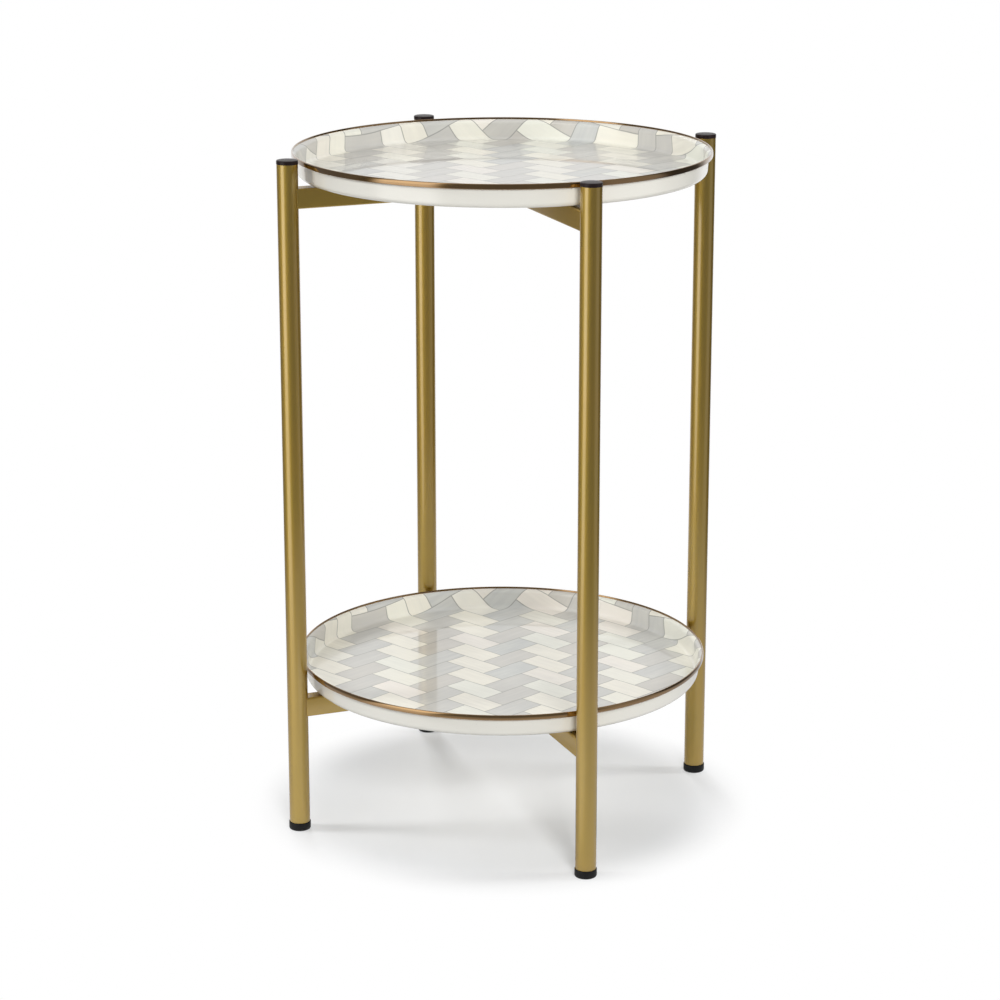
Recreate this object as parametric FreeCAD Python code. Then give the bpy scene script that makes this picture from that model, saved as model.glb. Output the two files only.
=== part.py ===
import FreeCAD, Part
import math
import os

# Two-tier round side table: a welded tube frame that carries two loose enamelled trays.
# Millimetres, +Z up, origin on the floor under the middle of the table.

# Trays
rim_diameter = 400.0          # over the metal rim
tray_height = 23.0            # rim top to underside
pan_sheet = 1.6               # pressed steel with its enamel
pan_corner_radius = 5.0       # outside, where the wall turns into the floor
wall_draft = 4.0              # degrees that the wall leans out
rim_height = 6.0              # bead, top to bottom
rim_overhang = 3.7            # bead beyond the wall's outside
rim_radius = 1.8              # rounding of the bead's outer edges
rim_web = 0.6                 # metal above the groove that takes the wall
rim_lip = 2.6                 # how far the bead reaches down inside the wall
rim_lip_wall = 0.6
rim_clearance = 0.1           # pan wall to groove

# Legs
leg_diameter = 20.0
leg_wall = 1.2
leg_length = 650.0
leg_gap = 3.6                 # rim to leg, so that a tray lifts out freely

# Rails
rail_width = 16.0
rail_height = 19.0
rail_wall = 1.2
rail_corner_radius = 1.2
lower_rail_top = 136.5        # above the floor
upper_rail_drop = 23.0        # below the leg's top end
weld_gap = 0.05               # root gap of every welded joint

# Rest pads between rails and trays
pad_length = 24.0
pad_width = 10.0
pad_thickness = 1.5
pad_inset = 25.0              # in from where the tray's floor starts to curve up

# Push-in plugs: caps on top, feet below
cap_height = 3.6
cap_overhang = 0.2            # beyond the leg's outside
foot_height = 8.0
foot_overhang = 0.65
foot_edge_radius = 2.0
stem_length = 16.0
fin_count = 4
fin_thickness = 2.4
fin_clearance = 0.05          # fin to the leg's bore

# Rounded edges are cut as flats about this long, which keeps the solids light
flat_length = 5.5

# Worked out from the sizes above
tray_radius = rim_diameter / 2
wall_lean = math.tan(math.radians(wall_draft))
lip_outside = tray_radius - rim_overhang - pan_sheet - rim_clearance
edge_drop = rim_web + rim_clearance
leg_radius = leg_diameter / 2
bore_radius = leg_radius - leg_wall
leg_circle = tray_radius + leg_gap + leg_radius
leg_top = foot_height + leg_length
upper_rail_top = leg_top - upper_rail_drop

z_axis = FreeCAD.Vector(0, 0, 1)
x_axis = FreeCAD.Vector(1, 0, 0)
middle = FreeCAD.Vector(0, 0, 0)
side_angles = {"front": -90.0, "right": 0.0, "back": 90.0, "left": 180.0}
tier_rail_tops = {"upper": upper_rail_top, "lower": lower_rail_top}


# How much of each corner's rounding its two sides have room for, at most 1
def rounding_room(points, cuts):
    room = [1.0] * len(points)
    for i in range(len(points)):
        wanted = cuts[i - 1] + cuts[i]
        side = points[i - 1].distanceToPoint(points[i])
        if wanted > side:
            room[i - 1] = min(room[i - 1], side / wanted)
            room[i] = min(room[i], side / wanted)
    return room


# A closed face in the XZ plane through corners given as (x, z, rounding radius)
def profile_face(corners):
    points = [FreeCAD.Vector(x, 0, z) for x, z, radius in corners]
    following = points[1:] + points[:1]
    half_angles = [(points[i - 1] - p).getAngle(following[i] - p) / 2 for i, p in enumerate(points)]
    cuts = [corner[2] / math.tan(half) for corner, half in zip(corners, half_angles)]
    room = rounding_room(points, cuts)
    outline = []
    for i, point in enumerate(points):
        cut = cuts[i] * room[i]
        if cut == 0:
            outline.append(point)
            continue
        back = (points[i - 1] - point).normalize()
        ahead = (following[i] - point).normalize()
        radius = cut * math.tan(half_angles[i])
        centre = point + (back + ahead).normalize() * (radius / math.sin(half_angles[i]))
        first = point + back * cut - centre
        last = point + ahead * cut - centre
        turn = math.pi - 2 * half_angles[i]
        flats = max(1, round(radius * turn / flat_length))
        for step in range(flats + 1):
            share = turn * step / flats
            arm = first * math.sin(turn - share) + last * math.sin(share)
            outline.append(centre + arm * (1 / math.sin(turn)))
    return Part.Face(Part.makePolygon(outline + outline[:1]))


def turned(corners):
    return profile_face(corners).revolve(middle, z_axis, 360)


# Radius of the tray wall's inside at a drop below the rim's top
def wall_inside(drop):
    return lip_outside + rim_clearance - wall_lean * (drop - rim_lip)


# Pressed pan: flat floor and a leaning wall whose plain edge stands inside the rim
def tray_pan(underside):
    floor = underside + pan_sheet
    edge = underside + tray_height - edge_drop
    return turned([
        (0, underside, 0),
        (wall_inside(tray_height) + pan_sheet, underside, pan_corner_radius),
        (wall_inside(edge_drop) + pan_sheet, edge, 0),
        (wall_inside(edge_drop), edge, 0),
        (wall_inside(tray_height - pan_sheet), floor, max(pan_corner_radius - pan_sheet, 0)),
        (0, floor, 0),
    ])


# Rim: a bead bent to a ring, with a groove pressed over the pan's plain edge and a lip inside it
def tray_rim(underside):
    top = underside + tray_height
    foot = top - rim_height
    lip_inside = lip_outside - rim_lip_wall
    groove_outside = wall_inside(edge_drop) + pan_sheet + rim_clearance
    return turned([
        (lip_inside, top - rim_lip, 0),
        (lip_inside, top, 0),
        (tray_radius, top, rim_radius),
        (tray_radius, foot, rim_radius),
        (groove_outside, foot, 0),
        (groove_outside, top - rim_web, 0),
        (lip_outside, top - rim_web, 0),
        (lip_outside, top - rim_lip, 0),
    ])


# A flange with its outer face at z = 0 and, above it, a finned stem that grips the leg's bore
def leg_plug(flange_radius, flange_height, edge_radius):
    plug = turned([
        (0, 0, 0),
        (flange_radius, 0, edge_radius),
        (flange_radius, flange_height, 0),
        (0, flange_height, 0),
    ])
    half = fin_thickness / 2
    reach = math.sqrt((bore_radius - fin_clearance) ** 2 - half ** 2)
    for i in range(fin_count):
        fin = Part.makeBox(reach, fin_thickness, stem_length, FreeCAD.Vector(0, -half, flange_height))
        fin.rotate(middle, z_axis, 360 * i / fin_count)
        plug = plug.fuse(fin)
    return plug.removeSplitter()


def leg_tube():
    outside = Part.makeCylinder(leg_radius, leg_length)
    bore = Part.makeCylinder(bore_radius, leg_length)
    return outside.cut(bore)


# Rectangular tube along +X from start to end, top face at z = 0
def rail_tube(start, end):
    section = []
    for inset in (0, rail_wall):
        half = rail_width / 2 - inset
        radius = max(rail_corner_radius - inset, 0)
        section.append(profile_face([
            (-half, inset - rail_height, radius),
            (half, inset - rail_height, radius),
            (half, -inset, radius),
            (-half, -inset, radius),
        ]))
    outside, inside = section
    tube = outside.cut(inside).extrude(FreeCAD.Vector(0, end - start, 0))
    tube.rotate(middle, z_axis, -90)
    tube.translate(FreeCAD.Vector(start, 0, 0))
    return tube


# The round cutter that copes a rail's end to the leg standing at x
def cope_cutter(x):
    foot = FreeCAD.Vector(x, 0, -rail_height)
    return Part.makeCylinder(leg_radius + weld_gap, rail_height, foot, z_axis)


def cross_rail():
    rail = rail_tube(-leg_circle, leg_circle)
    return rail.cut(cope_cutter(-leg_circle)).cut(cope_cutter(leg_circle))


def half_rail():
    return rail_tube(rail_width / 2 + weld_gap, leg_circle).cut(cope_cutter(leg_circle))


# One pad on each arm of the cross, in from the edge of the tray's flat floor
def rest_pads():
    floor_radius = wall_inside(tray_height) + pan_sheet - pan_corner_radius
    corner = FreeCAD.Vector(floor_radius - pad_inset - pad_length, -pad_width / 2, 0)
    pad = Part.makeBox(pad_length, pad_width, pad_thickness, corner)
    return Part.makeCompound([placed(pad, angle, 0, 0) for angle in side_angles.values()])


# A copy of a shape, moved out and up and then turned about the table's middle
def placed(shape, angle, out, height):
    copy = shape.copy()
    copy.translate(FreeCAD.Vector(out, 0, height))
    copy.rotate(middle, z_axis, angle)
    return copy


def build_nodes():
    nodes = {}
    leg = leg_tube()
    foot = leg_plug(leg_radius + foot_overhang, foot_height, foot_edge_radius)
    cap = leg_plug(leg_radius + cap_overhang, cap_height, 0)
    cap.rotate(middle, x_axis, 180)
    for side, angle in side_angles.items():
        nodes[side + "_leg"] = placed(leg, angle, leg_circle, foot_height)
        nodes[side + "_leg_cap"] = placed(cap, angle, leg_circle, leg_top + cap_height)
    nodes["feet"] = Part.makeCompound([placed(foot, angle, leg_circle, 0) for angle in side_angles.values()])
    for tier, rail_top in tier_rail_tops.items():
        underside = rail_top + pad_thickness
        nodes[tier + "_cross_rail"] = placed(cross_rail(), 0, 0, rail_top)
        for side in ("front", "back"):
            nodes[tier + "_" + side + "_rail"] = placed(half_rail(), side_angles[side], 0, rail_top)
        nodes[tier + "_rest_pads"] = placed(rest_pads(), 0, 0, rail_top)
        nodes[tier + "_tray_pan"] = tray_pan(underside)
        nodes[tier + "_tray_rim"] = tray_rim(underside)
    return nodes


os.makedirs("parts", exist_ok=True)
for node, shape in build_nodes().items():
    shape.exportStep("parts/" + node + ".step")
    print(node, len(shape.Solids), "solid(s)", round(shape.Volume), "mm3")
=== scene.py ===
import bpy
import bmesh
import math
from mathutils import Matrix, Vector


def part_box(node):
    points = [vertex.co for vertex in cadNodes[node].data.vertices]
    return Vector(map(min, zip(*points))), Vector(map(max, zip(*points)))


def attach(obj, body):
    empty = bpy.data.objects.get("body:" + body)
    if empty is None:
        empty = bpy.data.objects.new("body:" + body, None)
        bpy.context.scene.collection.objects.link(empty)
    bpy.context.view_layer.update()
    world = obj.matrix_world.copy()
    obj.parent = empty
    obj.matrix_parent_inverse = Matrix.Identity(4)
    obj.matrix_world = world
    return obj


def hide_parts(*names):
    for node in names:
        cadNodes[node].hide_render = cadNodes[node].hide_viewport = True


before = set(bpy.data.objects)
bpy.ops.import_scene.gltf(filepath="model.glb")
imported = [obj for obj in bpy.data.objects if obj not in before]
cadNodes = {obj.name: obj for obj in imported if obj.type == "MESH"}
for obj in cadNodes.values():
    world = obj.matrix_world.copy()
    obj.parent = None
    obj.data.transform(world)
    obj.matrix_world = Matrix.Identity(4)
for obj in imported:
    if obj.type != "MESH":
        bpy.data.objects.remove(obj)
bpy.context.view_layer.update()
print("frame loaded:", len(cadNodes), "CAD nodes")


class Val:  # a number socket that takes Python maths
    def __init__(self, nodes, socket):
        self.nodes = nodes
        self.socket = socket

    def maths(self, operation, *operands):
        return self.nodes.node("ShaderNodeMath", {"operation": operation}, dict(enumerate(operands)))

    def __add__(self, other):
        return self.maths("ADD", self, other)

    __radd__ = __add__

    def __sub__(self, other):
        return self.maths("SUBTRACT", self, other)

    def __rsub__(self, other):
        return self.maths("SUBTRACT", other, self)

    def __mul__(self, other):
        return self.maths("MULTIPLY", self, other)

    __rmul__ = __mul__

    def __truediv__(self, other):
        return self.maths("DIVIDE", self, other)

    def __rtruediv__(self, other):
        return self.maths("DIVIDE", other, self)

    def __mod__(self, other):
        return self.maths("FLOORED_MODULO", self, other)

    def __lt__(self, other):
        return self.maths("LESS_THAN", self, other)

    def __abs__(self):
        return self.maths("ABSOLUTE", self)

    def floor(self):
        return self.maths("FLOOR", self)

    def root(self):
        return self.maths("SQRT", self)

    def least(self, other):
        return self.maths("MINIMUM", self, other)

    def most(self, other):
        return self.maths("MAXIMUM", self, other)

    def angleTo(self, other):  # atan2(self, other)
        return self.maths("ARCTAN2", self, other)

    def swing(self, amount):  # noise lies about 0.5, so this goes as far below 0 as above
        return (self - 0.5) * amount

    def ramp(self, low, high):  # smooth 0 to 1 between two levels
        levels = {"Value": self, "From Min": low, "From Max": high}
        return self.nodes.node("ShaderNodeMapRange", {"interpolation_type": "SMOOTHSTEP"}, levels, "Result")


class Nodes:  # a node tree with one way to add any node
    def __init__(self, tree):
        self.tree = tree
        tree.nodes.clear()

    def node(self, kind, settings, inputs, out=0):
        made = self.tree.nodes.new(kind)
        for key, value in settings.items():
            setattr(made, key, value)
        for key, value in inputs.items():
            if isinstance(value, Val):
                self.tree.links.new(value.socket, made.inputs[key])
            else:
                made.inputs[key].default_value = value
        return Val(self, made.outputs[out]) if made.outputs else None  # an output node ends its tree

    def place(self):
        return self.node("ShaderNodeTexCoord", {}, {}, "Object")

    def axes(self, vector):
        return [self.node("ShaderNodeSeparateXYZ", {}, {0: vector}, i) for i in range(3)]

    def joined(self, x, y, z):
        return self.node("ShaderNodeCombineXYZ", {}, {0: x, 1: y, 2: z})

    def stretched(self, vector, scale):
        return self.node("ShaderNodeMapping", {}, {"Vector": vector, "Scale": scale})

    def noise(self, vector, scale, detail, out="Fac"):
        return self.node("ShaderNodeTexNoise", {}, {"Vector": vector, "Scale": scale, "Detail": detail}, out)

    def mixed(self, share, first, second):
        return self.node("ShaderNodeMix", {"data_type": "RGBA"}, {0: share, 6: first, 7: second}, 2)


class Finish(Nodes):  # a material with one Principled shader
    def __init__(self, name, constants):
        self.material = bpy.data.materials.new(name)
        self.material.use_nodes = True
        super().__init__(self.material.node_tree)
        surface = self.node("ShaderNodeBsdfPrincipled", {}, constants)
        self.node("ShaderNodeOutputMaterial", {}, {"Surface": surface})
        self.shader = surface.socket.node

    def feed(self, socket, value):
        self.tree.links.new(value.socket, self.shader.inputs[socket])

    def bump(self, height, distance, strength):
        inputs = {"Height": height, "Distance": distance, "Strength": strength}
        self.feed("Normal", self.node("ShaderNodeBump", {}, inputs, "Normal"))


def rgb(red, green, blue):
    return (red, green, blue, 1.0)


# In every finish a noise has a scale and a detail, and the relief a depth in metres and a strength.
# A tint or a roughness named for a noise is how far that noise moves it.

# Satin gold coat on the tubes, brushed along each tube
goldCoat = {
    "shader": {
        "Metallic": 1.0,
        "Specular Tint": rgb(0.62, 0.46, 0.25),
        "Coat Weight": 1.0,
        "Coat Roughness": 0.17,
        "Coat IOR": 1.8,
    },
    "warm": rgb(0.575, 0.372, 0.052),
    "olive": rgb(0.535, 0.366, 0.050),
    "oliveShare": 0.5,
    "roughness": 0.54,
    "streaks": {"x": (4, 900, 900), "y": (900, 4, 900), "z": (900, 900, 4)},
    "brushing": (1.0, 3.0),
    "brushTint": 0.4,
    "brushRoughness": 0.08,
    "clouds": (11.0, 3.0),
    "cloudTint": 1.4,
    "handling": (55.0, 4.0),
    "handlingRoughness": 0.05,
    "relief": (0.00002, 0.2),
}


def goldFinish(along):
    look = goldCoat
    f = Finish("satin_gold_" + along, look["shader"])
    place = f.place()
    brushing = f.noise(f.stretched(place, look["streaks"][along]), *look["brushing"])
    clouds = f.noise(place, *look["clouds"])
    handling = f.noise(place, *look["handling"])
    olive = clouds.swing(look["cloudTint"]) + look["oliveShare"] + brushing.swing(look["brushTint"])
    f.feed("Base Color", f.mixed(olive.ramp(0.0, 1.0), look["warm"], look["olive"]))
    roughness = look["roughness"] + brushing.swing(look["brushRoughness"])
    f.feed("Roughness", roughness + handling.swing(look["handlingRoughness"]))
    f.bump(brushing, *look["relief"])
    return f.material


# Polished bronze tone on the tray rims, polished round the ring
rimBronze = {
    "shader": {"Metallic": 1.0, "Coat Weight": 1.0, "Coat Roughness": 0.07, "Coat IOR": 1.8},
    "bright": rgb(0.335, 0.180, 0.042),
    "deep": rgb(0.220, 0.108, 0.020),
    "deepShare": 0.37,
    "roughness": 0.16,
    "wheelStretch": (2.0, 2600.0),  # along the ring and across it
    "wheel": (1.0, 3.0),
    "wheelTint": 0.6,
    "wheelRoughness": 0.10,
    "clouds": (14.0, 3.0),
    "cloudTint": 1.4,
    "cloudRoughness": 0.05,
    "relief": (0.00001, 0.3),
}


def bronzeFinish():
    look = rimBronze
    f = Finish("polished_bronze", look["shader"])
    place = f.place()
    x, y, z = f.axes(place)
    radius = (x * x + y * y).root()
    along, across = look["wheelStretch"]
    wheel = f.noise(f.joined(y.angleTo(x) * along, radius * across, z * across), *look["wheel"])
    clouds = f.noise(place, *look["clouds"])
    deep = clouds.swing(look["cloudTint"]) + wheel.swing(look["wheelTint"]) + look["deepShare"]
    f.feed("Base Color", f.mixed(deep.ramp(0.0, 1.0), look["bright"], look["deep"]))
    roughness = look["roughness"] + wheel.swing(look["wheelRoughness"])
    f.feed("Roughness", roughness + clouds.swing(look["cloudRoughness"]))
    f.bump(wheel, *look["relief"])
    return f.material


# Moulded black plastic on caps and feet
plugPlastic = {
    "shader": {"IOR": 1.45, "Specular IOR Level": 0.28},
    "cap": {"dark": rgb(0.014, 0.008, 0.008), "grey": rgb(0.038, 0.025, 0.025), "roughness": 0.36},
    "foot": {"dark": rgb(0.007, 0.007, 0.007), "grey": rgb(0.022, 0.021, 0.020), "roughness": 0.46},
    "grain": (2200.0, 2.0),
    "grainTint": 0.5,
    "grainRoughness": 0.16,
    "scuffStretch": (260, 260, 90),
    "scuff": (1.0, 5.0),
    "scuffShows": (0.52, 0.78),
    "scuffTint": 0.6,
    "scuffRoughness": 0.12,
    "relief": (0.00003, 0.5),
}


def plasticFinish(kind):
    look = plugPlastic
    own = look[kind]
    f = Finish("black_" + kind + "_plastic", look["shader"])
    place = f.place()
    grain = f.noise(place, *look["grain"])
    scuff = f.noise(f.stretched(place, look["scuffStretch"]), *look["scuff"]).ramp(*look["scuffShows"])
    grey = scuff * look["scuffTint"] + grain.swing(look["grainTint"])
    f.feed("Base Color", f.mixed(grey, own["dark"], own["grey"]))
    roughness = own["roughness"] + grain.swing(look["grainRoughness"])
    f.feed("Roughness", roughness + scuff * look["scuffRoughness"])
    f.bump(grain, *look["relief"])
    return f.material


# Gloss enamel on the outside of the pans
panOutside = {
    "shader": {"IOR": 1.52, "Coat Weight": 0.6, "Coat Roughness": 0.06},
    "white": rgb(0.835, 0.820, 0.752),
    "shade": rgb(0.775, 0.756, 0.690),
    "shadeShare": 0.4,
    "speck": rgb(0.45, 0.43, 0.40),
    "roughness": 0.20,
    "clouds": (7.0, 4.0),
    "cloudTint": 1.5,
    "cloudRoughness": 0.08,
    "peel": (170.0, 2.0),  # the slight waviness of sprayed enamel
    "peelRoughness": 0.06,
    "specks": (900.0, 0.0),
    "speckShows": (0.80, 0.84),
    "speckTint": 0.2,
    "relief": (0.00006, 0.4),
}


def enamelOutsideFinish():
    look = panOutside
    f = Finish("gloss_enamel_white", look["shader"])
    place = f.place()
    clouds = f.noise(place, *look["clouds"])
    peel = f.noise(place, *look["peel"])
    specks = f.noise(place, *look["specks"]).ramp(*look["speckShows"])
    white = f.mixed(clouds.swing(look["cloudTint"]) + look["shadeShare"], look["white"], look["shade"])
    f.feed("Base Color", f.mixed(specks * look["speckTint"], white, look["speck"]))
    roughness = look["roughness"] + clouds.swing(look["cloudRoughness"])
    f.feed("Roughness", roughness + peel.swing(look["peelRoughness"]))
    f.bump(peel, *look["relief"])
    return f.material


# Inside of the pans: a two-tone herringbone of brushed planks under clear gloss
inlay = {
    "shader": {"IOR": 1.5, "Coat Roughness": 0.05, "Coat IOR": 1.5},
    "plankWidth": 0.026,
    "plankLength": 2,  # in widths
    "turn": math.radians(24.0),
    "leastRadius": 0.01,  # keeps the middle clear of dividing by 0
    "drift": (28.0, 1.0),
    "driftReach": 0.10,  # how far the joints wander, in widths
    "lyingSeed": 0.37,  # gives lying planks other draws than standing ones
    "brush": {"stretch": (0.55, 6), "shift": (40, 90, 7), "noise": (1.0, 3.0)},
    "wash": {"stretch": (0.8, 1.1), "shift": (17, 31, 0), "noise": (1.0, 2.0)},
    "cream": rgb(0.86, 0.83, 0.725),
    "creamCool": rgb(0.82, 0.825, 0.74),
    "coolShows": (0.3, 0.9),
    "creamRose": rgb(0.85, 0.80, 0.735),
    "roseShows": (0.55, 1.0),
    "roseTint": 0.8,
    "grey": rgb(0.53, 0.545, 0.54),
    "greyWarm": rgb(0.585, 0.56, 0.51),
    "greyness": {"base": 0.06, "lying": 0.78, "chance": 0.26, "brush": 0.45, "wash": 0.35},
    "greyShows": (-0.12, 1.05),
    "line": rgb(0.25, 0.25, 0.235),
    "lineHalf": 0.018,  # in widths
    "lineFades": (0.7, 1.6),
    "lineTint": 0.74,
    "roughness": {"base": 0.35, "brush": 0.12, "line": 0.1},
    "gloss": {"base": 0.62, "chance": 0.4, "wash": 0.6, "brush": 0.4, "line": 0.25},
    "brushRelief": 0.25,
    "relief": (0.00004, 0.35),
}


def inlayFinish(tier, floorHeight):
    look = inlay
    f = Finish(tier + "_herringbone_enamel", look["shader"])
    place = f.place()
    x, y, z = f.axes(place)
    rise = (z - floorHeight).most(0.0)
    radius = (x * x + y * y).root().most(look["leastRadius"])
    unrolled = (1 + rise / radius) / look["plankWidth"]  # the lay runs on up the wall
    cosine = math.cos(look["turn"])
    sine = math.sin(look["turn"])
    drift = f.axes(f.noise(place, *look["drift"], "Color"))
    u = (x * cosine + y * sine) * unrolled + drift[0].swing(look["driftReach"])
    v = (y * cosine - x * sine) * unrolled + drift[1].swing(look["driftReach"])
    column = u.floor()
    row = v.floor()
    length = look["plankLength"]
    repeat = 2 * length
    step = (column - row) % repeat
    lying = step < length  # 1 where a plank lies along u, 0 where it stands along v
    startU = column - step * lying
    startV = row - (repeat - 1 - step) * (1 - lying)
    along = (u - startU) * lying + (v - startV) * (1 - lying)
    across = (v - row) * lying + (u - column) * (1 - lying)
    edge = (0.5 - abs(across - 0.5)).least(length / 2 - abs(along - length / 2))
    plank = f.joined(startU, startV, lying * look["lyingSeed"] + floorHeight)
    chance = f.node("ShaderNodeTexWhiteNoise", {}, {"Vector": plank}, "Value")
    tint = f.axes(f.node("ShaderNodeTexWhiteNoise", {}, {"Vector": plank}, "Color"))

    def plankNoise(strokes):  # each plank takes its own part of the noise
        alongStretch, acrossStretch = strokes["stretch"]
        shifts = [chance * shift for shift in strokes["shift"]]
        spot = f.joined(along * alongStretch + shifts[0], across * acrossStretch + shifts[1], shifts[2])
        return f.noise(spot, *strokes["noise"])

    brush = plankNoise(look["brush"])
    wash = plankNoise(look["wash"])
    cream = f.mixed(tint[1].ramp(*look["coolShows"]), look["cream"], look["creamCool"])
    cream = f.mixed(tint[2].ramp(*look["roseShows"]) * look["roseTint"], cream, look["creamRose"])
    grey = f.mixed(tint[0], look["grey"], look["greyWarm"])
    greyness = look["greyness"]
    greyShare = lying * greyness["lying"] + greyness["base"] + chance.swing(greyness["chance"])
    greyShare = greyShare + brush.swing(greyness["brush"]) + wash.swing(greyness["wash"])
    colour = f.mixed(greyShare.ramp(*look["greyShows"]), cream, grey)
    line = 1 - (edge / (look["lineHalf"] * (0.5 + wash))).ramp(*look["lineFades"])
    f.feed("Base Color", f.mixed(line * look["lineTint"], colour, look["line"]))
    roughness = look["roughness"]
    f.feed("Roughness", roughness["base"] + brush.swing(roughness["brush"]) + line * roughness["line"])
    gloss = look["gloss"]
    clear = gloss["base"] + chance.swing(gloss["chance"]) + wash.swing(gloss["wash"])
    f.feed("Coat Weight", clear + brush.swing(gloss["brush"]) - line * gloss["line"])
    f.bump(brush * look["brushRelief"] - line, *look["relief"])
    return f.material


# Pale rubber of the rest pads
padRubber = {
    "shader": {"IOR": 1.48},
    "pale": rgb(0.60, 0.60, 0.58),
    "dusty": rgb(0.42, 0.41, 0.39),
    "roughness": 0.62,
    "dust": (180.0, 4.0),
    "dustShows": (0.35, 0.75),
    "grain": (1500.0, 2.0),
    "grainRoughness": 0.2,
    "relief": (0.00005, 0.5),
}


def rubberFinish():
    look = padRubber
    f = Finish("pale_pad_rubber", look["shader"])
    place = f.place()
    dust = f.noise(place, *look["dust"]).ramp(*look["dustShows"])
    grain = f.noise(place, *look["grain"])
    f.feed("Base Color", f.mixed(dust, look["pale"], look["dusty"]))
    f.feed("Roughness", look["roughness"] + grain.swing(look["grainRoughness"]))
    f.bump(grain, *look["relief"])
    return f.material


finishes = {
    "goldX": goldFinish("x"),
    "goldY": goldFinish("y"),
    "goldZ": goldFinish("z"),
    "bronze": bronzeFinish(),
    "cap": plasticFinish("cap"),
    "foot": plasticFinish("foot"),
    "outside": enamelOutsideFinish(),
    "pad": rubberFinish(),
}
print("finishes made:", len(finishes))

sameSpot = 0.00001  # metres, for picking edges by their place


def clearSelection():
    if bpy.context.mode != "OBJECT":
        bpy.ops.object.mode_set(mode="OBJECT")
    bpy.ops.object.select_all(action="DESELECT")


def makeActive(piece):
    clearSelection()
    piece.select_set(True)
    bpy.context.view_layer.objects.active = piece


def editAll(piece):
    makeActive(piece)
    bpy.ops.object.mode_set(mode="EDIT")
    bpy.ops.mesh.select_mode(type="VERT")
    bpy.ops.mesh.select_all(action="SELECT")


def pickEdges(piece, test):  # in edit mode, selects edges by where their two ends are
    bpy.ops.mesh.select_mode(type="EDGE")
    bpy.ops.mesh.select_all(action="DESELECT")
    mesh = bmesh.from_edit_mesh(piece.data)
    for edge in mesh.edges:
        if test(edge.verts[0].co, edge.verts[1].co):
            edge.select_set(True)
    mesh.select_flush(True)
    bmesh.update_edit_mesh(piece.data)


def onRing(radius, height):
    def near(point):
        return abs(point.xy.length - radius) < sameSpot and abs(point.z - height) < sameSpot

    return lambda first, second: near(first) and near(second)


def roundPicked(offset, segments):
    bpy.ops.mesh.bevel(offset=offset, segments=segments, profile=0.5, affect="EDGES")  # 0.5 is an arc


def roundRing(piece, radius, height, offset, segments):
    pickEdges(piece, onRing(radius, height))
    roundPicked(offset, segments)


def addWall(piece, thickness):  # sheet metal, inwards from the faces
    wall = piece.modifiers.new("wall", "SOLIDIFY")
    wall.thickness = thickness
    wall.offset = -1
    return wall


def applyModifiers(piece):
    makeActive(piece)
    for modifier in list(piece.modifiers):
        bpy.ops.object.modifier_apply(modifier=modifier.name)


def smooth(piece, degrees):
    makeActive(piece)
    bpy.ops.object.shade_smooth_by_angle(angle=math.radians(degrees))


def settle(piece):  # the piece's place goes into its mesh
    makeActive(piece)
    bpy.ops.object.transform_apply(location=True, rotation=True, scale=True)


def copyOf(piece, name):
    makeActive(piece)
    bpy.ops.object.duplicate(linked=False)
    twin = bpy.context.view_layer.objects.active
    twin.name = name
    return twin


def dress(piece, name, body, slot, nodes, *materials):
    piece.name = name
    piece.data.name = name
    while len(piece.data.materials) < len(materials):
        piece.data.materials.append(None)
    for place, material in enumerate(materials):
        piece.data.materials[place] = material
    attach(piece, body)
    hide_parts(*nodes)


def addCylinder(corners, radius, bottom, top, ends):  # upright, on the table's axis
    clearSelection()
    middle = (0, 0, (bottom + top) / 2)
    bpy.ops.mesh.primitive_cylinder_add(
        vertices=corners, radius=radius, depth=top - bottom, end_fill_type=ends, location=middle)
    return bpy.context.active_object


def sweepRings(name, rings, segments):  # a circle, then extruded and scaled from ring to ring
    clearSelection()
    radius, height = rings[0]
    bpy.ops.mesh.primitive_circle_add(
        vertices=segments, radius=radius, fill_type="NOTHING", location=(0, 0, 0))
    piece = bpy.context.active_object
    piece.name = name
    editAll(piece)
    bpy.ops.transform.translate(value=(0, 0, height))
    for nextRadius, nextHeight in rings[1:]:
        bpy.ops.mesh.extrude_region_move(TRANSFORM_OT_translate={"value": (0, 0, nextHeight - height)})
        grow = nextRadius / radius
        bpy.ops.transform.resize(value=(grow, grow, 1), center_override=(0, 0, nextHeight))
        radius, height = nextRadius, nextHeight
    return piece


def faceOut(piece, outward):  # outward(face) is above 0 where a face points the right way
    bpy.ops.mesh.select_all(action="SELECT")
    bpy.ops.mesh.normals_make_consistent(inside=False)
    mesh = bmesh.from_edit_mesh(piece.data)
    if sum(outward(face) for face in mesh.faces) < 0:
        bpy.ops.mesh.flip_normals()


# Trays: a pressed pan, and a bronze rim round its edge. Drops are from the rim's top.
panSize = {
    "segments": 256,
    "sheet": 0.0014,
    "cornerRadius": 0.005,
    "cornerSegments": 8,
    "lean": math.tan(math.radians(4.0)),
    "bendDrop": 0.0050,  # where the wall's edge turns out under the rim
    "bendRadius": 0.0016,
    "bendSegments": 5,
    "edgeDrop": 0.0030,
    "edgeInset": 0.0007,
    "floorInsets": (0.004, 0.06),  # rings that keep the flat floor's shading flat
    "smoothAngle": 40,
}


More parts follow.
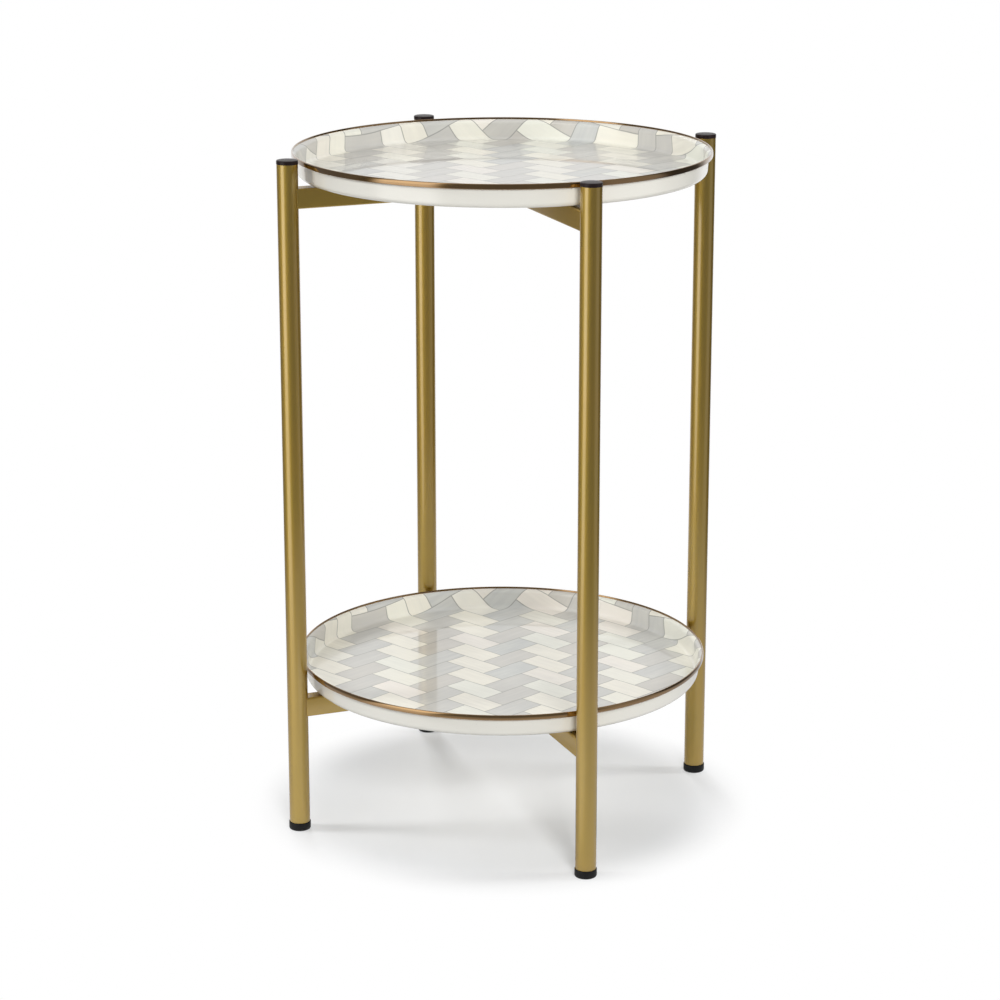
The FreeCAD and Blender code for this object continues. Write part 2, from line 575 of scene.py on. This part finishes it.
def makePan():
    low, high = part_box("upper_tray_pan")
    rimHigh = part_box("upper_tray_rim")[1]
    bendHeight = rimHigh.z - panSize["bendDrop"]
    base = high.x - panSize["lean"] * (high.z - low.z)
    bend = high.x - panSize["lean"] * (high.z - bendHeight)
    edge = rimHigh.x - panSize["edgeInset"]
    rings = [(base, low.z), (bend, bendHeight), (edge, rimHigh.z - panSize["edgeDrop"])]
    pan = sweepRings("pan", rings, panSize["segments"])
    pickEdges(pan, onRing(base, low.z))
    bpy.ops.mesh.edge_face_add()
    roundRing(pan, base, low.z, panSize["cornerRadius"], panSize["cornerSegments"])
    roundRing(pan, bend, bendHeight, panSize["bendRadius"], panSize["bendSegments"])
    bpy.ops.mesh.select_mode(type="FACE")
    bpy.ops.mesh.select_all(action="DESELECT")
    mesh = bmesh.from_edit_mesh(pan.data)
    for face in mesh.faces:
        face.select_set(len(face.verts) > 4)  # only the floor has more than 4 corners
    bmesh.update_edit_mesh(pan.data)
    for inset in panSize["floorInsets"]:
        bpy.ops.mesh.inset(thickness=inset)
    faceOut(pan, lambda face: -face.normal.z * face.calc_area())
    bpy.ops.object.mode_set(mode="OBJECT")
    for _ in ("outside", "inside"):  # the wall's inside takes the second slot
        pan.data.materials.append(finishes["outside"])
    wall = addWall(pan, panSize["sheet"])
    wall.use_even_offset = True
    wall.material_offset = 1
    wall.material_offset_rim = 1
    applyModifiers(pan)
    smooth(pan, panSize["smoothAngle"])
    return pan


# The rim is a round-topped strip, turned in under the pan's edge
rimSize = {
    "sheet": 0.0004,
    "outline": [  # insets from the outside and drops, from the inner face over the top to the underside
        (0.00170, 0.00210), (0.00170, 0.00036), (0.00145, 0.00009), (0.00110, 0.00000),
        (0.00072, 0.00015), (0.00038, 0.00052), (0.00014, 0.00110), (0.00002, 0.00185),
        (0.00000, 0.00260), (0.00000, 0.00360), (0.00004, 0.00435), (0.00018, 0.00485),
        (0.00050, 0.00512), (0.00100, 0.00520), (0.00340, 0.00520),
    ],
    "smoothAngle": 45,
}


def makeRim():
    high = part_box("upper_tray_rim")[1]
    rings = [(high.x - inset, high.z - drop) for inset, drop in rimSize["outline"]]
    rim = sweepRings("rim", rings, panSize["segments"])
    innerInset = rimSize["outline"][0][0]
    middle = high.x - innerInset / 2

    def outward(face):  # the outside looks away from the tray's axis, the inside towards it
        centre = face.calc_center_median().xy
        return face.normal.xy.dot(centre) * (centre.length - middle)

    faceOut(rim, outward)
    bpy.ops.object.mode_set(mode="OBJECT")
    wall = addWall(rim, rimSize["sheet"])
    wall.use_even_offset = True
    applyModifiers(rim)
    smooth(rim, rimSize["smoothAngle"])
    return rim


upperPan = makePan()
lowerPan = copyOf(upperPan, "lowerPan")
upperRim = makeRim()
lowerRim = copyOf(upperRim, "lowerRim")
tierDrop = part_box("upper_tray_rim")[1].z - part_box("lower_tray_rim")[1].z
for piece in (lowerPan, lowerRim):
    piece.location.z = -tierDrop
    settle(piece)
for tier, pan, rim in (("upper", upperPan, upperRim), ("lower", lowerPan, lowerRim)):
    inside = inlayFinish(tier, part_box(tier + "_tray_pan")[0].z + panSize["sheet"])
    body = tier + "_tray"
    dress(pan, tier + "Pan", body, "tray_enamel", [tier + "_tray_pan"], finishes["outside"], inside)
    dress(rim, tier + "Rim", body, "rim_bronze", [tier + "_tray_rim"], finishes["bronze"])
print("trays made")


# Legs: straight tubes, open at both ends for the plugs
leg = {"sides": 96, "wall": 0.0012, "edge": 0.0003, "edgeSegments": 2, "edgeAngle": 50, "smoothAngle": 32}
sides = ("front", "right", "back", "left")


def legPlace(side):
    low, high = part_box(side + "_leg")
    return (low + high) / 2


def setAtLegs(model, kind, height, slot, node, finish):  # the model itself goes last, to the left leg
    for side in sides:
        piece = model if side == sides[-1] else copyOf(model, side + kind)
        spot = legPlace(side)
        piece.location = (spot.x, spot.y, height)
        settle(piece)
        dress(piece, side + kind, "frame", slot, [node.format(side)], finish)


def makeLeg():
    low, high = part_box("front_leg")
    tube = addCylinder(leg["sides"], (high.x - low.x) / 2, low.z, high.z, "NOTHING")
    settle(tube)
    addWall(tube, leg["wall"])
    ends = tube.modifiers.new("ends", "BEVEL")
    ends.width = leg["edge"]
    ends.segments = leg["edgeSegments"]
    ends.limit_method = "ANGLE"
    ends.angle_limit = math.radians(leg["edgeAngle"])
    applyModifiers(tube)
    smooth(tube, leg["smoothAngle"])
    return tube


setAtLegs(makeLeg(), "Leg", 0, "frame_gold", "{}_leg", finishes["goldZ"])
print("legs made")


# Plugs: low black caps on top and taller feet below, each with a stem in the tube
plug = {
    "sides": 96,
    "cap": {"radius": 0.0102, "height": 0.0036, "outer": 0.0009, "inner": 0.0003, "crown": 0.0004},
    "foot": {"radius": 0.01065, "height": 0.008, "outer": 0.0019, "inner": 0.0005, "crown": 0.0},
    "crownFlat": 0.55,  # share of the radius
    "outerSegments": 5,
    "innerSegments": 3,
    "stemRadius": 0.0085,
    "stemLength": 0.015,
    "stemWall": 0.0016,
    "stemFloor": 0.001,
    "smoothAngle": 38,
}


def makePlug(kind):  # outer face at z = 0, looking down
    size = plug[kind]
    radius = size["radius"]
    height = size["height"]
    stemBore = plug["stemRadius"] - plug["stemWall"]
    rings = [
        (radius * plug["crownFlat"], -size["crown"]),
        (radius, 0),
        (radius, height),
        (plug["stemRadius"], height),
        (plug["stemRadius"], height + plug["stemLength"]),
        (stemBore, height + plug["stemLength"]),
        (stemBore, height + plug["stemFloor"]),
    ]
    piece = sweepRings(kind, rings, plug["sides"])
    for ring in (rings[0], rings[-1]):
        pickEdges(piece, onRing(*ring))
        bpy.ops.mesh.edge_face_add()
    roundRing(piece, radius, 0, size["outer"], plug["outerSegments"])
    roundRing(piece, radius, height, size["inner"], plug["innerSegments"])
    middle = Vector((0, 0, height / 2))
    faceOut(piece, lambda face: face.normal.dot(face.calc_center_median() - middle) * face.calc_area())
    bpy.ops.object.mode_set(mode="OBJECT")
    smooth(piece, plug["smoothAngle"])
    return piece


capModel = makePlug("cap")
capModel.rotation_euler.x = math.pi  # a cap looks up
settle(capModel)
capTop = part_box("front_leg_cap")[1].z - plug["cap"]["crown"]
setAtLegs(capModel, "Cap", capTop, "cap_plastic", "{}_leg_cap", finishes["cap"])
setAtLegs(makePlug("foot"), "Foot", 0, "foot_plastic", "feet", finishes["foot"])
print("plugs made")


# Rails: rectangular tube, ends coped to the legs, half rails welded to the cross rail's sides
rail = {
    "corner": 0.0016,
    "cornerSegments": 5,
    "longEdge": 0.05,  # edges longer than this run along the rail
    "copeSides": 128,
    "copeHeight": 0.06,
    "smoothAngle": 35,
}


def makeRail(node, runs, copes):
    low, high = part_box(node)
    middle = (low + high) / 2
    clearSelection()
    bpy.ops.mesh.primitive_cube_add(size=1, location=middle, scale=high - low)
    piece = bpy.context.active_object
    settle(piece)
    editAll(piece)
    pickEdges(piece, lambda first, second: abs((first - second)[runs]) > rail["longEdge"])
    roundPicked(rail["corner"], rail["cornerSegments"])
    bpy.ops.object.mode_set(mode="OBJECT")
    half = rail["copeHeight"] / 2
    for side in copes:
        legLow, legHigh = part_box(side + "_leg")
        radius = (legHigh.x - legLow.x) / 2
        cutter = addCylinder(rail["copeSides"], radius, middle.z - half, middle.z + half, "NGON")
        cutter.location.xy = legPlace(side).xy
        settle(cutter)
        cope = piece.modifiers.new("cope", "BOOLEAN")
        cope.operation = "DIFFERENCE"
        cope.object = cutter
        applyModifiers(piece)
        bpy.data.objects.remove(cutter)
    smooth(piece, rail["smoothAngle"])
    return piece


for tier in ("upper", "lower"):
    piece = makeRail(tier + "_cross_rail", 0, ("left", "right"))
    dress(piece, tier + "CrossRail", "frame", "frame_gold", [tier + "_cross_rail"], finishes["goldX"])
    for side in ("front", "back"):
        node = tier + "_" + side + "_rail"
        piece = makeRail(node, 1, (side,))
        dress(piece, tier + side.capitalize() + "Rail", "frame", "frame_gold", [node], finishes["goldY"])
print("rails made")

for tier in ("upper", "lower"):  # the pads keep their CAD shape
    pads = cadNodes[tier + "_rest_pads"]
    pads.data.materials.clear()
    pads.data.materials.append(finishes["pad"])
print("pads dressed")


# Studio: camera, soft boxes, floor and surroundings. Angles are in degrees and lengths in metres.
camera = {
    "place": (-1.0346, -2.5957, 1.1056),
    "heading": 21.692,
    "pitch": 15.842,
    "sensor": 36.0,
    "lens": 106.64,
}


def aimedCamera():
    data = bpy.data.cameras.new("view")
    data.sensor_width = camera["sensor"]
    data.lens = camera["lens"]
    view = bpy.data.objects.new("view", data)
    bpy.context.scene.collection.objects.link(view)
    view.location = camera["place"]
    heading = math.radians(camera["heading"])
    pitch = math.radians(camera["pitch"])
    level = math.cos(pitch)
    forward = Vector((math.sin(heading) * level, math.cos(heading) * level, -math.sin(pitch)))
    view.rotation_euler = forward.to_track_quat("-Z", "Y").to_euler()
    bpy.context.scene.camera = view


cameraSide = -111.7  # bearings count from here round the table, minus to the camera's left
softBoxes = {  # bearing, distance, height, side, power in watts and the height aimed at
    "leftBox": (-90, 3.0, 1.6, 0.75, 44, 0.1),
    "frontBox": (12, 3.0, 1.6, 0.75, 56, 0.1),
    "rightBox": (92, 3.0, 1.6, 0.75, 31, 0.1),
    "backBox": (-166, 3.0, 1.6, 0.75, 40, 0.1),
    "topBox": (0, 0.2, 2.4, 2.0, 10, 0.0),
}


def softBox(name, bearing, distance, height, side, power, aimHeight):
    data = bpy.data.lights.new(name, "AREA")
    data.shape = "SQUARE"
    data.size = side
    data.energy = power
    box = bpy.data.objects.new(name, data)
    bpy.context.scene.collection.objects.link(box)
    turn = math.radians(cameraSide + bearing)
    box.location = (distance * math.cos(turn), distance * math.sin(turn), height)
    box.rotation_euler = (Vector((0, 0, aimHeight)) - box.location).to_track_quat("-Z", "Y").to_euler()
    box.visible_glossy = False  # the room's own panels show in the metal instead


# What polished metal and gloss mirror: panels round the room, each between two soft edges
room = {
    "panels": {
        "key": {"starts": (-76.0, -65.0), "ends": (-40.0, -30.0), "level": 2.00},
        "front": {"starts": (-40.0, -30.0), "ends": (48.0, 62.0), "level": 0.13},
        "fill": {"starts": (48.0, 62.0), "ends": (90.0, 102.0), "level": 0.40},
        "flank": {"starts": (-150.0, -135.0), "ends": (-86.0, -72.0), "level": 0.13},
    },
    "dark": 0.06,
    "sweepStarts": (128.0, 150.0),  # a white sweep behind the table
    "sweep": 0.85,
    "ceilingStarts": (0.70, 0.90),  # from here up, as the sine of the elevation
    "ceiling": 0.55,
    "domeThins": (0.55, 0.95),  # plain light on the table, weaker from overhead
    "domeTop": 0.126,
    "domeSides": 0.216,
}


def bearingOf(x, y):
    turn = math.radians(cameraSide)
    ahead = x * math.cos(turn) + y * math.sin(turn)
    aside = y * math.cos(turn) - x * math.sin(turn)
    return aside.angleTo(ahead) * (180 / math.pi)


def between(value, starts, ends):
    return value.ramp(*starts) * (1 - value.ramp(*ends))


def mirroredRoom(bearing):  # how bright the room is in a mirror, and where its key panel is
    masks = {name: between(bearing, look["starts"], look["ends"]) for name, look in room["panels"].items()}
    level = room["dark"] + abs(bearing).ramp(*room["sweepStarts"]) * room["sweep"]
    for name, mask in masks.items():
        level = level + mask * room["panels"][name]["level"]
    return level, masks["key"]


def rays(n):  # 1 for what is seen directly, for what is mirrored and for all other light
    seen = n.node("ShaderNodeLightPath", {}, {}, "Is Camera Ray")
    seen = seen + n.node("ShaderNodeLightPath", {}, {}, "Is Transmission Ray")
    mirrored = n.node("ShaderNodeLightPath", {}, {}, "Is Glossy Ray")
    return seen, mirrored, (1 - seen - mirrored).most(0.0)


# The floor takes the table's shadow near it and is plain white further out
floor = {
    "sides": 128,
    "radius": 5.0,
    "colour": rgb(0.790, 0.802, 0.818),
    "glow": 0.02,
    "whiteStarts": (0.175, 0.255),  # out from the table's middle
    "whiteGlow": 0.55,  # what the white part gives to matt surfaces
    "mirror": 0.68,  # the white part in a mirror, near the table
    "mirrorDims": 0.4,  # how much of the floor's colour a mirror loses
    "roomStarts": (0.25, 1.15),  # out from the middle, where a mirror sees the room's panels in it
    "keyDims": 0.5,  # share of the key panel that isn't seen there
    "keyGlow": 0.15,  # the key panel in the floor near the table
    "patch": {"starts": (-34.0, -24.0), "ends": (0.0, 14.0), "fades": (0.34, 0.46), "glow": 0.3},
}


def layFloor():
    clearSelection()
    bpy.ops.mesh.primitive_circle_add(
        vertices=floor["sides"], radius=floor["radius"], fill_type="NGON", location=(0, 0, 0))
    ground = bpy.context.active_object
    ground.name = "floor"
    material = bpy.data.materials.new("pale_floor")
    material.use_nodes = True
    n = Nodes(material.node_tree)
    x, y = n.axes(n.place())[:2]
    reach = (x * x + y * y).root()
    white = reach.ramp(*floor["whiteStarts"])
    away = reach.ramp(*floor["roomStarts"])
    seen, mirrored, others = rays(n)
    bearing = bearingOf(x, y)
    level, key = mirroredRoom(bearing)
    patch = floor["patch"]
    bright = between(bearing, patch["starts"], patch["ends"]) * (1 - reach.ramp(*patch["fades"]))
    shown = floor["glow"] * (1 - white) + white
    mirror = white * (floor["mirror"] * (1 - away) + (level - key * floor["keyDims"]) * away)
    mirror = mirror + key * (1 - away) * floor["keyGlow"] + bright * white * patch["glow"]
    strength = seen * shown + mirrored * mirror + others * white * floor["whiteGlow"]
    unlit = white.most(mirrored * floor["mirrorDims"])
    lit = n.mixed(unlit, floor["colour"], rgb(0, 0, 0))
    matte = n.node("ShaderNodeBsdfDiffuse", {}, {"Color": lit})
    glow = n.node("ShaderNodeEmission", {}, {"Color": rgb(1, 1, 1), "Strength": strength})
    both = n.node("ShaderNodeAddShader", {}, {0: matte, 1: glow})
    below = n.node("ShaderNodeNewGeometry", {}, {}, "Backfacing")  # from below, the table shows through
    clear = n.node("ShaderNodeBsdfTransparent", {}, {})
    surface = n.node("ShaderNodeMixShader", {}, {0: below, 1: both, 2: clear})
    n.node("ShaderNodeOutputMaterial", {}, {"Surface": surface})
    ground.data.materials.append(material)


def surround():
    world = bpy.data.worlds.new("studio")
    bpy.context.scene.world = world
    world.use_nodes = True
    n = Nodes(world.node_tree)
    seen, mirrored, others = rays(n)
    x, y, z = n.axes(n.node("ShaderNodeTexCoord", {}, {}, "Generated"))
    walls = mirroredRoom(bearingOf(x, y))[0]
    ceiling = z.ramp(*room["ceilingStarts"])
    mirror = walls * (1 - ceiling) + ceiling * room["ceiling"]
    dome = room["domeTop"] + room["domeSides"] * (1 - z.ramp(*room["domeThins"]))
    level = seen + mirrored * mirror + others * dome
    background = n.node("ShaderNodeBackground", {}, {"Color": rgb(1, 1, 1), "Strength": level})
    n.node("ShaderNodeOutputWorld", {}, {"Surface": background})


aimedCamera()
for name, settings in softBoxes.items():
    softBox(name, *settings)
layFloor()
surround()
bpy.context.scene.view_settings.view_transform = "Standard"
print("studio set")
